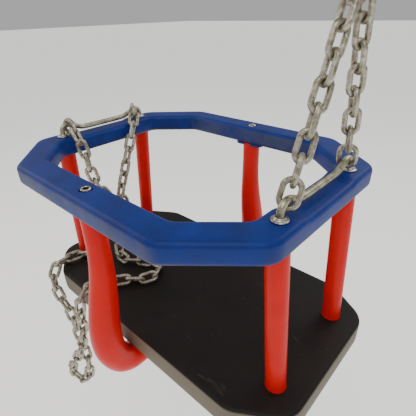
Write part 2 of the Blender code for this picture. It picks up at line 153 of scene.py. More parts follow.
def carriedFrames(points, closed):
    count = len(points)
    tangents = []
    for i in range(count):
        step = points[(i + 1) % count] - points[i - 1] if closed else (
            points[min(i + 1, count - 1)] - points[max(i - 1, 0)])
        tangents.append(step.normalized())
    normal = tangents[0].orthogonal().normalized()
    normals = []
    for i, tangent in enumerate(tangents):
        if i:
            normal = tangents[i - 1].rotation_difference(tangent) @ normal
        normals.append((normal - tangent * normal.dot(tangent)).normalized())
    return tangents, normals


def barAlong(bm, points, radii, sides, closed=False):
    tangents, normals = carriedFrames(points, closed)
    loops = []
    for point, tangent, normal, radius in zip(points, tangents, normals, radii):
        other = tangent.cross(normal)
        loops.append([point + (normal * math.cos(a) + other * math.sin(a)) * radius
                      for a in (2 * math.pi * i / sides for i in range(sides))])
    return skin(bm, loops, roundAgain=closed)


def smoothLine(points, steps):
    ends = [points[0] * 2 - points[1], *points, points[-1] * 2 - points[-2]]
    line = []
    for a, b, c, d in zip(ends, ends[1:], ends[2:], ends[3:]):
        for k in range(steps):
            t = k / steps
            line.append(0.5 * ((2 * b) + (c - a) * t + (2 * a - 5 * b + 4 * c - d) * t**2
                               + (3 * b - a - 3 * c + d) * t**3))
    line.append(points[-1])
    return line


def roundOctagon(shape, inset, radius, z, steps=10, along=1):
    # one level loop of an octagon, every side moved in by inset; along splits the straight sides
    hx, hy, sy, fx = (shape[k] for k in ("halfX", "halfY", "sideY", "frontX"))
    corners = [Vector(p) for p in ((hx, -sy), (hx, sy), (fx, hy), (-fx, hy),
                                   (-hx, sy), (-hx, -sy), (-fx, -hy), (fx, -hy))]
    arcs = []
    for i, corner in enumerate(corners):
        back = (corners[i - 1] - corner).normalized()
        ahead = (corners[(i + 1) % 8] - corner).normalized()
        half = back.angle(ahead) / 2
        middle = (back + ahead).normalized()
        moved = corner + middle * inset / math.sin(half)
        center = moved + middle * radius / math.sin(half)
        first = moved + back * radius / math.tan(half) - center
        turn = math.pi - 2 * half
        arcs.append([center + Matrix.Rotation(turn * k / steps, 2) @ first for k in range(steps + 1)])
    points = []
    for i, arc in enumerate(arcs):
        points.extend(arc)
        start, stop = arc[-1], arcs[(i + 1) % 8][0]
        points.extend(start.lerp(stop, k / along) for k in range(1, along))
    return [Vector((p.x, p.y, z)) for p in points]


# camera, light and floor

cameraSettings = {
    "place": (0.3098, -0.29476, 0.15468), "lens": 30.54,
    "right": (0.7408, 0.6713, -0.0228), "up": (-0.3133, 0.3753, 0.8724), "back": (0.5942, -0.6391, 0.4883),
}
cameraData = bpy.data.cameras.new("camera")
cameraData.lens = cameraSettings["lens"]
cameraData.sensor_width = 36
cameraData.clip_start = 0.01
camera = bpy.data.objects.new("camera", cameraData)
bpy.context.scene.collection.objects.link(camera)
turn = Matrix([cameraSettings[k] for k in ("right", "up", "back")]).transposed().to_4x4()
camera.matrix_world = Matrix.Translation(cameraSettings["place"]) @ turn
bpy.context.scene.camera = camera


def addLight(name, place, target, size, power, color="#ffffff"):
    data = bpy.data.lights.new(name, "AREA")
    data.shape = "DISK"
    data.size = size
    data.energy = power
    data.color = linearColor(color)[:3]
    light = bpy.data.objects.new(name, data)
    bpy.context.scene.collection.objects.link(light)
    light.location = place
    light.rotation_euler = (Vector(target) - Vector(place)).to_track_quat("-Z", "Y").to_euler()


def makeStudio():
    settings = {"floorZ": -0.78, "floorSize": 60.0, "floorColor": "#fbfaf8", "floorGlow": 0.6,
                "worldStrength": 0.45}
    addLight("keyLight", (0.8, -1.2, 2.0), (0, 0, -0.1), 2.2, 24)
    addLight("leftLight", (-1.7, -0.6, 1.2), (0, 0, -0.1), 1.8, 12, "#fff8ee")
    addLight("backLight", (0.3, 1.7, 1.5), (0, 0, -0.1), 1.6, 12)
    bm = bmesh.new()
    half = settings["floorSize"] / 2
    corners = ((-half, -half), (half, -half), (half, half), (-half, half))
    bm.faces.new([bm.verts.new((x, y, settings["floorZ"])) for x, y in corners])
    material, _, shader, _ = newMaterial("paleStudioFloor")
    shader.inputs["Base Color"].default_value = linearColor(settings["floorColor"])
    shader.inputs["Roughness"].default_value = 0.9
    shader.inputs["Emission Color"].default_value = linearColor(settings["floorColor"])
    shader.inputs["Emission Strength"].default_value = settings["floorGlow"]
    toObject("studioFloor", bm, material, recalculate=False)
    world = bpy.data.worlds.new("softWhite")
    bpy.context.scene.world = world
    world.use_nodes = True
    background = world.node_tree.nodes["Background"]
    background.inputs["Color"].default_value = linearColor("#ffffff")
    background.inputs["Strength"].default_value = settings["worldStrength"]


makeStudio()
print("camera, lights and floor are in place")


# materials

def polyethylene(name, look):
    # moulded polyethylene: waxy semi-gloss, faint mottling in the pigment, and a fine moulded skin
    material, tree, shader, place = newMaterial(name)
    mottle = addNode(tree, "ShaderNodeTexNoise", inputs={"Scale": 28.0, "Detail": 5.0, "Roughness": 0.6},
                     links={"Vector": (place, "Object")})
    tint = addNode(tree, "ShaderNodeValToRGB", links={"Fac": (mottle, "Fac")})
    setRamp(tint, [(0.3, linearColor(look["deep"])), (0.7, linearColor(look["light"]))])
    # scuffs: stretched noise, so they run as short rubbed streaks about 2 mm wide
    stretch = addNode(tree, "ShaderNodeMapping", inputs={"Scale": look["streak"]},
                      links={"Vector": (place, "Object")})
    rub = addNode(tree, "ShaderNodeTexNoise", inputs={"Scale": 90.0, "Detail": 6.0, "Roughness": 0.7},
                  links={"Vector": (stretch, "Vector")})
    rubMask = addNode(tree, "ShaderNodeValToRGB", links={"Fac": (rub, "Fac")})
    setRamp(rubMask, [(look["rubStart"], (0, 0, 0)), (0.82, (1, 1, 1))])
    amount = addNode(tree, "ShaderNodeMath", {"operation": "MULTIPLY"}, {1: look["rub"]},
                     {0: (rubMask, "Color")})
    worn = addNode(tree, "ShaderNodeMix", {"data_type": "RGBA"}, {7: linearColor(look["worn"])},
                   {0: (amount, "Value"), 6: (tint, "Color")})
    rough = addNode(tree, "ShaderNodeMapRange", inputs={3: look["rough"] - 0.07, 4: look["rough"] + 0.1},
                    links={0: (rub, "Fac")})
    tree.links.new(rough.outputs[0], shader.inputs["Roughness"])
    # a grain of about half a millimetre, drawn a little coarser than real so that it shows
    grain = addNode(tree, "ShaderNodeTexNoise", inputs={"Scale": 900.0, "Detail": 2.0},
                    links={"Vector": (place, "Object")})
    wave = addNode(tree, "ShaderNodeTexNoise", inputs={"Scale": 38.0, "Detail": 2.0},
                   links={"Vector": (place, "Object")})
    low = addNode(tree, "ShaderNodeBump", inputs={"Strength": look["wave"], "Distance": 0.0012},
                  links={"Height": (wave, "Fac")})
    bump = addNode(tree, "ShaderNodeBump", inputs={"Strength": 0.12, "Distance": 0.0003},
                   links={"Height": (grain, "Fac"), "Normal": (low, "Normal")})
    tree.links.new(bump.outputs[0], shader.inputs["Normal"])
    # rubbed grey on the lower edges and on the upright faces that look to the front
    facing = addNode(tree, "ShaderNodeNewGeometry")
    split = addNode(tree, "ShaderNodeSeparateXYZ", links={"Vector": (facing, "Normal")})
    under = addNode(tree, "ShaderNodeMapRange", {"interpolation_type": "SMOOTHSTEP"},
                    {1: -0.05, 2: -0.5, 3: 0.0, 4: 1.0},
                    {0: (split, "Z")})
    front = addNode(tree, "ShaderNodeMapRange", {"interpolation_type": "SMOOTHSTEP"},
                    {1: -0.8, 2: -0.99, 3: 0.0, 4: 1.0},
                    {0: (split, "Y")})
    either = addNode(tree, "ShaderNodeMath", {"operation": "MAXIMUM"}, links={0: (under, 0), 1: (front, 0)})
    patch = addNode(tree, "ShaderNodeTexNoise", inputs={"Scale": 9.0, "Detail": 6.0, "Roughness": 0.75},
                    links={"Vector": (place, "Object")})
    patchMask = addNode(tree, "ShaderNodeMapRange", inputs={1: 0.36, 2: 0.6, 3: 0.0, 4: look["edgeWear"]},
                        links={0: (patch, "Fac")})
    edge = addNode(tree, "ShaderNodeMath", {"operation": "MULTIPLY"},
                   links={0: (either, 0), 1: (patchMask, 0)})
    knocked = addNode(tree, "ShaderNodeMix", {"data_type": "RGBA"}, {7: linearColor(look["bare"])},
                      {0: (edge, 0), 6: (worn, 2)})
    tree.links.new(knocked.outputs[2], shader.inputs["Base Color"])
    shader.inputs["IOR"].default_value = 1.51
    shader.inputs["Specular IOR Level"].default_value = look["sheen"]
    return material


bluePlastic = polyethylene("mouldedBluePolyethylene", {
    "deep": "#001f66", "light": "#002c85", "worn": "#34466f", "rub": 0.4, "rubStart": 0.58, "rough": 0.46,
    "bare": "#4f5158", "edgeWear": 0.75, "sheen": 0.28,
    "wave": 0.12, "streak": (1.0, 1.0, 3.0)})
redPlastic = polyethylene("mouldedRedPolyethylene", {
    "deep": "#d40900", "light": "#e40f00", "worn": "#d8402a",
    "bare": "#a82412", "edgeWear": 0.25, "sheen": 0.2, "rub": 0.3, "rubStart": 0.6, "rough": 0.34,
    "wave": 0.2, "streak": (3.0, 3.0, 0.5)})


def mouldedRubber():
    # moulded rubber: near black, brown where dust sits, soft sheen, pitted skin and thin pale scratches
    look = {"base": "#0c0907", "brown": "#1c140e", "side": "#857a66", "scratch": "#5f584b"}
    material, tree, shader, place = newMaterial("mouldedBlackRubber")
    cloud = addNode(tree, "ShaderNodeTexNoise", inputs={"Scale": 16.0, "Detail": 7.0, "Roughness": 0.65},
                    links={"Vector": (place, "Object")})
    tint = addNode(tree, "ShaderNodeValToRGB", links={"Fac": (cloud, "Fac")})
    setRamp(tint, [(0.35, linearColor(look["base"])), (0.7, linearColor(look["brown"]))])
    # the upright rim is dusty grey-brown: it follows how level the surface is
    facing = addNode(tree, "ShaderNodeNewGeometry")
    split = addNode(tree, "ShaderNodeSeparateXYZ", links={"Vector": (facing, "Normal")})
    level = addNode(tree, "ShaderNodeMath", {"operation": "ABSOLUTE"}, links={0: (split, "Z")})
    rim = addNode(tree, "ShaderNodeMapRange", {"interpolation_type": "SMOOTHSTEP"},
                  {1: 0.7, 2: 0.1, 3: 0.0, 4: 0.7},
                  {0: (level, "Value")})
    dusty = addNode(tree, "ShaderNodeMix", {"data_type": "RGBA"}, {7: linearColor(look["side"])},
                    {0: (rim, 0), 6: (tint, "Color")})
    turnScratch = addNode(tree, "ShaderNodeMapping", inputs={"Rotation": (0, 0, 0.62),
                                                             "Scale": (9.0, 60.0, 9.0)},
                          links={"Vector": (place, "Object")})
    lines = addNode(tree, "ShaderNodeTexNoise", inputs={"Scale": 2.2, "Detail": 4.0, "Distortion": 1.4},
                    links={"Vector": (turnScratch, "Vector")})
    thin = addNode(tree, "ShaderNodeValToRGB", links={"Fac": (lines, "Fac")})
    setRamp(thin, [(0.67, (0, 0, 0)), (0.75, (0.3, 0.3, 0.3))])
    scratched = addNode(tree, "ShaderNodeMix", {"data_type": "RGBA"}, {7: linearColor(look["scratch"])},
                        {0: (thin, "Color"), 6: (dusty, 2)})
    tree.links.new(scratched.outputs[2], shader.inputs["Base Color"])
    rough = addNode(tree, "ShaderNodeMapRange", inputs={3: 0.48, 4: 0.72}, links={0: (cloud, "Fac")})
    tree.links.new(rough.outputs[0], shader.inputs["Roughness"])
    pits = addNode(tree, "ShaderNodeTexNoise", inputs={"Scale": 420.0, "Detail": 4.0},
                   links={"Vector": (place, "Object")})
    bump = addNode(tree, "ShaderNodeBump", inputs={"Strength": 0.35, "Distance": 0.0005},
                   links={"Height": (pits, "Fac")})
    tree.links.new(bump.outputs[0], shader.inputs["Normal"])
    shader.inputs["IOR"].default_value = 1.52
    shader.inputs["Specular IOR Level"].default_value = 0.3
    return material


def zincCoat(name, look):
    # a zinc coat on steel: hot-dipped is dull with soft spangles, plated is bright with a fine grain
    material, tree, shader, place = newMaterial(name)
    spangle = addNode(tree, "ShaderNodeTexVoronoi", inputs={"Scale": look["spangle"], "Randomness": 1.0},
                      links={"Vector": (place, "Object")})
    cloud = addNode(tree, "ShaderNodeTexNoise", inputs={"Scale": look["cloud"], "Detail": 5.0,
                                                        "Roughness": 0.6},
                    links={"Vector": (place, "Object")})
    blend = addNode(tree, "ShaderNodeMix", {"data_type": "RGBA"}, {0: 0.35},
                    {6: (cloud, "Fac"), 7: (spangle, "Color")})
    tint = addNode(tree, "ShaderNodeValToRGB", links={"Fac": (blend, 2)})
    setRamp(tint, [(0.25, linearColor(look["dark"])), (0.5, linearColor(look["base"])),
                   (0.78, linearColor(look["pale"]))])
    tree.links.new(tint.outputs["Color"], shader.inputs["Base Color"])
    rough = addNode(tree, "ShaderNodeMapRange", inputs={3: look["rough"] - 0.08, 4: look["rough"] + 0.12},
                    links={0: (cloud, "Fac")})
    tree.links.new(rough.outputs[0], shader.inputs["Roughness"])
    grain = addNode(tree, "ShaderNodeTexNoise", inputs={"Scale": look["grain"], "Detail": 3.0},
                    links={"Vector": (place, "Object")})
    bump = addNode(tree, "ShaderNodeBump", inputs={"Strength": look["bump"], "Distance": 0.0004},
                   links={"Height": (grain, "Fac")})
    tree.links.new(bump.outputs[0], shader.inputs["Normal"])
    shader.inputs["Metallic"].default_value = look["metallic"]
    return material


rubber = mouldedRubber()
galvanised = zincCoat("hotDipGalvanisedSteel", {
    "dark": "#766f5c", "base": "#aaa391", "pale": "#d8d2c2", "rough": 0.4, "metallic": 0.85, "spangle": 300.0,
    "cloud": 150.0, "grain": 600.0, "bump": 0.5})
plated = zincCoat("brightZincPlatedSteel", {
    "dark": "#5f5b51", "base": "#bdb9ae", "pale": "#f2f0ea", "rough": 0.22, "metallic": 1.0, "spangle": 500.0,
    "cloud": 160.0, "grain": 1400.0, "bump": 0.12})
primedSteelAndSocketShade = zincCoat("blackPrimedSteelAndSocketShade", {
    "dark": "#141414", "base": "#1d1d1d", "pale": "#2a2a2a", "rough": 0.5, "metallic": 0.2, "spangle": 200.0,
    "cloud": 60.0, "grain": 900.0, "bump": 0.2})
print("materials are made")


# the grab ring

ringShape = {
    "halfX": 200 * mm, "halfY": 163.3 * mm, "sideY": 99.5 * mm, "frontX": 123.5 * mm, "corner": 24 * mm,
    "barWidth": 36.5 * mm, "barHeight": 24.4 * mm, "edge": 6 * mm, "grooveHalf": 9 * mm,
    "grooveDepth": 12 * mm,
    "dip": 2.5 * mm, "screwY": 142.5 * mm, "boltX": 182 * mm, "boltY": 69.5 * mm,
    "dipReach": 54 * mm, "dipEase": 9 * mm, "cornerLoss": 6 * mm, "hoopHalf": 7.5 * mm, "hoopHeight": 8 * mm,
    # holes as (radius, height) in millimetres
    "rodHole": ((3.7, -40), (3.7, 20)),
    "screwHole": ((3.4, -40), (3.4, -3), (7.0, -3), (7.2, -0.6), (8.0, 0.2), (8.0, 5)),
}


def ringSection(shape, steps=7):
    width, height, radius = shape["barWidth"], shape["barHeight"], shape["edge"]
    points = []
    for inset, z, start in ((width - radius, -radius, 0), (radius, -radius, 90),
                            (radius, radius - height, 180),
                            (width - radius, radius - height, 270)):
        for k in range(steps + 1):
            angle = math.radians(start + 90 * k / steps)
            points.append((inset + radius * math.cos(angle), z + radius * math.sin(angle)))
        if start == 180:
            middle, half, deep = width / 2, shape["grooveHalf"], shape["grooveDepth"]
            points += [(middle - half, -height), (middle - half, deep - height),
                       (middle + half, deep - height),
                       (middle + half, -height)]
    # more rows in the flat top keep the shallow dip smooth
    start, stop = points[steps][0], points[steps + 1][0]
    flat = [(start + (stop - start) * t, 0.0) for t in (0.2, 0.4, 0.6, 0.8)]
    return points[:steps + 1] + flat + points[steps + 1:]


def ringCorner(shape, inset):
    # the corners tighten a little towards the inside
    return shape["corner"] - shape["cornerLoss"] * inset / shape["barWidth"]


def makeRing(shape):
    loops = []
    for inset, z in ringSection(shape):
        loop = roundOctagon(shape, inset, ringCorner(shape, inset), z, 12, 24)
        if z > -shape["barHeight"] / 2:
            for point in loop:
                # the top dips a little under the middle of each hanger bar
                reach = max(0.0, min(1.0, (shape["dipReach"] - abs(point.y)) / shape["dipEase"]))
                if abs(point.x) > shape["frontX"] + 20 * mm:
                    share = 1 + z / (shape["barHeight"] / 2)
                    point.z -= shape["dip"] * reach * reach * (3 - 2 * reach) * max(0, min(1, share * 1.6))
        loops.append(loop)
    ring = toObject("grabRing", skin(bmesh.new(), loops, roundAgain=True), bluePlastic)
    cutters = []
    for side in (-1, 1):
        for end in (-1, 1):
            rodPlace = Vector((side * shape["boltX"], end * shape["boltY"], 0))
            cutters.append(toObject("hole", turned(bmesh.new(), rodPlace, shape["rodHole"], 32), bluePlastic))
        hole = turned(bmesh.new(), Vector((0, side * shape["screwY"], 0)), shape["screwHole"], 48)
        cutters.append(toObject("hole", hole, bluePlastic))
    cutAway(ring, cutters)
    ring.data.set_sharp_from_angle(angle=math.radians(35))
    hand(ring, "cage", "blue_plastic", "ring_shell")

    loops = []
    top = shape["grooveDepth"] - shape["barHeight"] - gap
    low = top - shape["hoopHeight"]
    for side, z in ((-1, top), (1, top), (1, low), (-1, low)):
        inset = shape["barWidth"] / 2 + side * shape["hoopHalf"]
        loops.append(roundOctagon(shape, inset, ringCorner(shape, inset), z, 10))
    hoop = toObject("ringHoop", skin(bmesh.new(), loops, roundAgain=True), primedSteelAndSocketShade)
    bevel = hoop.modifiers.new("bevel", "BEVEL")
    bevel.width = 0.6 * mm
    bevel.segments = 2
    bevel.limit_method = "ANGLE"
    applyModifiers(hoop)
    hand(hoop, "cage", "bare_steel", "ring_hoop")


makeRing(ringShape)
print("the ring is made")


# centre posts, their collars and fixings

postShape = {
    # distance from the middle, height, radius, in millimetres
    "line": ((142.4, -24.7, 12.8), (142.4, -45, 12.6), (142.4, -70, 12.9), (143.2, -95, 14.0),
             (145.2, -118, 15.6), (148.8, -141, 17.2), (152.6, -164, 18.4), (155.4, -185, 19.2),
             (156.4, -205, 19.6), (155.0, -224, 19.6), (150.0, -240.5, 19.4), (142.0, -254.4, 19.3),
             (130.0, -262.4, 19.0), (116.0, -263.7, 18.9), (98.0, -263.7, 18.6), (86.0, -263.4, 17.4),
             (79.5, -263.2, 13.8), (76.2, -263.0, 8.6), (75.2, -262.9, 3.0)),
    "sides": 56, "collarX": 23 * mm, "collarY": 13.5 * mm, "collarMiddle": 143.5 * mm, "boltY": 96 * mm,
}


def roundBlock(center, halfX, halfY, corner, rows, steps=6):
    # rows are (inset, z): a round-cornered block whose edges can be eased
    loops = []
    for inset, z in rows:
        loop = []
        for sx, sy, start in ((1, 1, 0), (-1, 1, 90), (-1, -1, 180), (1, -1, 270)):
            for k in range(steps + 1):
                angle = math.radians(start + 90 * k / steps)
                r = corner - inset
                loop.append(center + Vector((sx * (halfX - corner) + r * math.cos(angle),
                                             sy * (halfY - corner) + r * math.sin(angle), z)))
        loops.append(loop)
    return skin(bmesh.new(), loops)


def makePosts(shape, ring):
    for name, side in (("front", -1), ("back", 1)):
        line = smoothLine([Vector((0, side * y * mm, z * mm)) for y, z, _ in shape["line"]], 5)
        radii = [v.x for v in smoothLine([Vector((r * mm, 0, 0)) for _, _, r in shape["line"]], 5)]
        post = toObject(f"{name}Post", barAlong(bmesh.new(), line, radii, shape["sides"]), redPlastic, 50)
        foot = Vector((0, side * shape["boltY"], 0))
        bore = turned(bmesh.new(), foot, ((8.4, -300), (8.4, -276), (3.4, -276), (3.4, -238)), 40)
        cutAway(post, [toObject("hole", bore, redPlastic)])
        post.data.set_sharp_from_angle(angle=math.radians(40))
        hand(post, "cage", "red_plastic", f"post_{name}")

        top = -ring["barHeight"] - gap
        center = Vector((0, side * shape["collarMiddle"], 0))
        collar = toObject(f"{name}PostCollar", roundBlock(
            center, shape["collarX"], shape["collarY"], 8 * mm,
            ((0, top), (0, top - 2.8 * mm), (0.4 * mm, top - 3.7 * mm), (1.2 * mm, top - 4 * mm))),
            bluePlastic)
        # a horseshoe: the hole takes the post and breaks through the side that faces the middle
        hole = turned(bmesh.new(), Vector((0, side * ring["screwY"], 0)), ((13.3, -40), (13.3, -20)), 56)
        cutAway(collar, [toObject("hole", hole, bluePlastic)])
        collar.data.set_sharp_from_angle(angle=math.radians(35))
        hand(collar, "cage", "blue_plastic", f"post_collar_{name}")

        head = Vector((0, side * ring["screwY"], 0))
        profile = ((2.9, -60), (3.0, -59), (3.0, -2.6), (5.6, -2.6), (5.95, -2.2), (6.0, -1.0), (5.85, 0.2),
                   (5.4, 0.9), (4.7, 1.3), (4.0, 1.2), (3.5, 0.6), (3.3, -0.2), (3.2, -1.8), (0.02, -2.3))
        screw = toObject(f"{name}PostScrew", turned(bmesh.new(), head, profile, 48), plated)
        # painted shade: the socket of the screw gets the near-black primed steel, so the recess reads dark
        screw.data.materials.append(primedSteelAndSocketShade)
        for face in screw.data.polygons:
            out = (Vector(face.center) - head).xy.length
            if out < 3.5 * mm and face.center.z > -2.5 * mm:
                face.material_index = 1
        hand(screw, "cage", "zinc_plated_steel", f"post_screw_{name}")

        bolt = bmesh.new()
        skin(bolt, [ringOfPoints(foot + Vector((0, 0, z * mm)), r * mm, 6)
                    for r, z in ((6.4, -281.5), (7.3, -280.9), (7.3, -277.9))])
        turned(bolt, foot, ((8.1, -277.8), (8.2, -277.5), (8.2, -276.7), (8.0, -276.4), (3.0, -276.3),
                            (3.0, -245.2)), 40)
        bolt = toObject(f"{name}PostBolt", bolt, plated)
        hand(bolt, "cage", "zinc_plated_steel", f"post_bolt_{name}")


makePosts(postShape, ringShape)
print("the posts are made")


# side tubes, hanger bars, washers and nuts

sideShape = {
    "topX": 182 * mm, "topY": 69.5 * mm, "footX": 194 * mm, "footY": 68 * mm, "topZ": -24.4 * mm,
    "seatTop": -208 * mm, "seatUnder": -244 * mm, "tube": 11.6 * mm, "bore": 8.6 * mm, "rod": 3.6 * mm,
    "rodEnd": -253.5 * mm,
}


def upright(shape, side, end, z):
    share = (z - shape["topZ"]) / (shape["seatTop"] - shape["topZ"])
    return Vector((side * (shape["topX"] + (shape["footX"] - shape["topX"]) * share),
                   end * (shape["topY"] + (shape["footY"] - shape["topY"]) * share), z))


def leaningTurned(shape, side, end, profile, sides, closed=False):
    return skin(bmesh.new(), [ringOfPoints(upright(shape, side, end, z), max(r, 0.02 * mm), sides)
                              for r, z in profile], roundAgain=closed)


def makeSides(shape):
    top, foot = shape["topZ"] - gap, shape["seatTop"] + gap
    for sideName, side in (("left", -1), ("right", 1)):
        for endName, end in (("front", -1), ("back", 1)):
            place = f"{sideName}{endName.capitalize()}"
            node = f"{sideName}_{endName}"
            r, bore = shape["tube"], shape["bore"]
            profile = ((r, top), (r, foot + 4 * mm), (r + 0.15 * mm, foot + 2.6 * mm),
                       (r + 0.5 * mm, foot + 1.2 * mm),
                       (r + 0.6 * mm, foot + 0.5 * mm), (r + 0.3 * mm, foot), (bore, foot), (bore, top))
            tube = toObject(f"{place}Tube", leaningTurned(shape, side, end, profile, 56, True), redPlastic,
                            50)
            hand(tube, "cage", "red_plastic", f"side_tube_{node}")

            under = shape["seatUnder"] - gap
            rod = shape["rod"] + gap
            outline = ((9 * mm, under - 0.2 * mm), (9 * mm, under - 1.3 * mm), (8.7 * mm, under - 1.6 * mm),
                       (rod, under - 1.6 * mm), (rod, under), (8.8 * mm, under))
            washer = toObject(f"{place}SeatWasher", leaningTurned(shape, side, end, outline, 40, True),
                              plated)
            hand(washer, "cage", "zinc_plated_steel", f"seat_washer_{node}")

            nut = toObject(f"{place}SeatNut", nutMesh(shape, side, end, under - 1.9 * mm,
                                                      shape["rodEnd"] + 1.8 * mm, 7.2 * mm, rod), plated, 30)
            hand(nut, "cage", "zinc_plated_steel", f"seat_nut_{node}")

            # a cupped washer: flat flange, a step, and a collar that grips the rod
            center = Vector((side * shape["topX"], end * shape["topY"], 0))
            outline = ((8.0, 0.3), (8.2, 0.5), (8.2, 1.3), (7.9, 1.6), (6.8, 1.8), (6.0, 2.1), (5.5, 2.7),
                       (5.3, 3.6), (5.0, 4.05), (4.6, 4.2), (4.2, 4.0), (4.1, 3.4), (4.1, 0.3))
            cup = toObject(f"{place}CupWasher", turned(bmesh.new(), center, outline, 56, True), plated, 50)
            hand(cup, "cage", "zinc_plated_steel", f"hanger_washer_{node}")


def nutMesh(shape, side, end, high, low, radius, bore):
    # a hexagon with eased corners: the end faces are round, and the corners are cut a little
    sides, flat = 36, radius * math.cos(math.pi / 6)
    rows = []
    for z, eased in ((high, True), (high - 0.5 * mm, False), (low + 0.5 * mm, False), (low, True)):
        loop = []
        for i in range(sides):
            angle = 2 * math.pi * i / sides
            fromCorner = abs((angle + math.pi / 6) % (math.pi / 3) - math.pi / 6)
            reach = min(flat / math.cos(math.pi / 6 - fromCorner), flat if eased else radius * 0.985)
            spoke = Vector((math.cos(angle), math.sin(angle), 0))
            loop.append(upright(shape, side, end, z) + spoke * reach)
        rows.append(loop)
    rows += [ringOfPoints(upright(shape, side, end, z), bore, sides) for z in (low, high)]
    return skin(bmesh.new(), rows, roundAgain=True)


hangerShape = {
    # distance from the middle and height of the bent bar, in millimetres
    "line": ((69.5, -24), (69.5, -8), (69.5, 1), (69.5, 5.0), (68.9, 9.2), (66.9, 12.7), (63.6, 14.8),
             (59.5, 15.3), (54.5, 14.3), (48.5, 11.8), (42.5, 9.2), (36.0, 7.5), (24.0, 7.0), (8.0, 7.0)),
}


def makeHangers(shape, sides):
    for name, side in (("left", -1), ("right", 1)):
        half = [upright(sides, side, -1, z) for z in (sides["rodEnd"], -150 * mm, -60 * mm)]
        half += [Vector((side * sides["topX"], -y * mm, z * mm)) for y, z in shape["line"]]
        line = smoothLine(half + [Vector((p.x, -p.y, p.z)) for p in reversed(half)], 5)
        radii = [sides["rod"]] * len(line)
        for i in (0, -1):
            radii[i] *= 0.8
        bar = toObject(f"{name}HangerBar", barAlong(bmesh.new(), line, radii, 24), hangerZinc, 50)
        hand(bar, "cage", "galvanised_steel", f"hanger_{name}")


hangerZinc = zincCoat("dullZincPlatedBar", {
    "dark": "#77725d", "base": "#b0ab90", "pale": "#dedab4", "rough": 0.32, "metallic": 0.9, "spangle": 260.0,
    "cloud": 70.0, "grain": 900.0, "bump": 0.2})
makeSides(sideShape)
makeHangers(hangerShape, sideShape)
print("the sides and hanger bars are made")


# the seat

seatShape = {
    "halfX": 230 * mm, "halfY": 127 * mm, "sideY": 90.5 * mm, "frontX": 171.5 * mm, "corner": 34 * mm,
    "top": -208 * mm, "under": -244 * mm,
    "plateX": 212 * mm, "plateY": 74 * mm, "plate": 3 * mm, "plateCorner": 12 * mm,
}


def rodHoles(sides, low, high, material):
    # four leaning drums where the rods of the hanger bars pass
    holes = []
    for side in (-1, 1):
        for end in (-1, 1):
            drum = skin(bmesh.new(), [ringOfPoints(upright(sides, side, end, z), sides["rod"] + 0.5 * mm, 32)
                                      for z in (low, high)])
            holes.append(toObject("hole", drum, material))
    return holes


def makeSeat(shape, sides):
    top, under = shape["top"], shape["under"]
    # the moulded slab: a flat top, an eased edge and a drawn-in underside
    rows = ((8 * mm, top), (6 * mm, top), (4.0 * mm, top - 0.1 * mm), (2.4 * mm, top - 0.5 * mm),
            (1.1 * mm, top - 1.4 * mm),
            (0.3 * mm, top - 2.8 * mm), (0, top - 4.4 * mm), (0, under + 7 * mm), (0.5 * mm, under + 4 * mm),
            (2.0 * mm, under + 2 * mm), (4 * mm, under + 0.5 * mm), (6 * mm, under))
    loops = [roundOctagon(shape, inset, max(shape["corner"] - inset * 0.5, 8 * mm), z, 12, 6)
             for inset, z in rows]
    seat = toObject("rubberSeat", skin(bmesh.new(), loops), rubber, 40)
    pocket = roundBlock(Vector((0, 0, 0)), shape["plateX"] + gap, shape["plateY"] + gap, shape["plateCorner"],
                        ((0, under - 10 * mm), (0, under + shape["plate"] + 2 * gap)))
    pocket = toObject("hole", pocket, rubber)
    cutAway(seat, [pocket, *rodHoles(sides, under - 20 * mm, top + 20 * mm, rubber)])
    seat.data.set_sharp_from_angle(angle=math.radians(40))
    hand(seat, "cage", "black_rubber", "seat_pad")

    low, ease = under + gap, 0.4 * mm
    high = low + shape["plate"]
    rows = ((ease, low), (0, low + ease), (0, high - ease), (ease, high))
    block = roundBlock(Vector((0, 0, 0)), shape["plateX"], shape["plateY"], shape["plateCorner"], rows)
    plate = toObject("seatPlate", block, primedSteelAndSocketShade)
    cutAway(plate, rodHoles(sides, low - 9 * mm, high + 9 * mm, primedSteelAndSocketShade))
    plate.data.set_sharp_from_angle(angle=math.radians(35))
    hand(plate, "cage", "bare_steel", "seat_plate")


makeSeat(seatShape, sideShape)
print("the seat is made")


# chains

chainShape = {
    "wire": 5.4 * mm, "pitch": 20.5 * mm, "width": 18 * mm, "firstPitch": 19.2 * mm, "firstWidth": 21.6 * mm,
    "firstTurn": 21, "legLinks": 8, "loose": 0.7 * mm, "joinRing": 16 * mm, "joinWire": 5.8 * mm,
    "shackleWire": 5.8 * mm,
    "weld": 0.13, "firstSlack": 0.6 * mm, "slack": -0.1 * mm,  # added to the pitch for a link's inner length
}


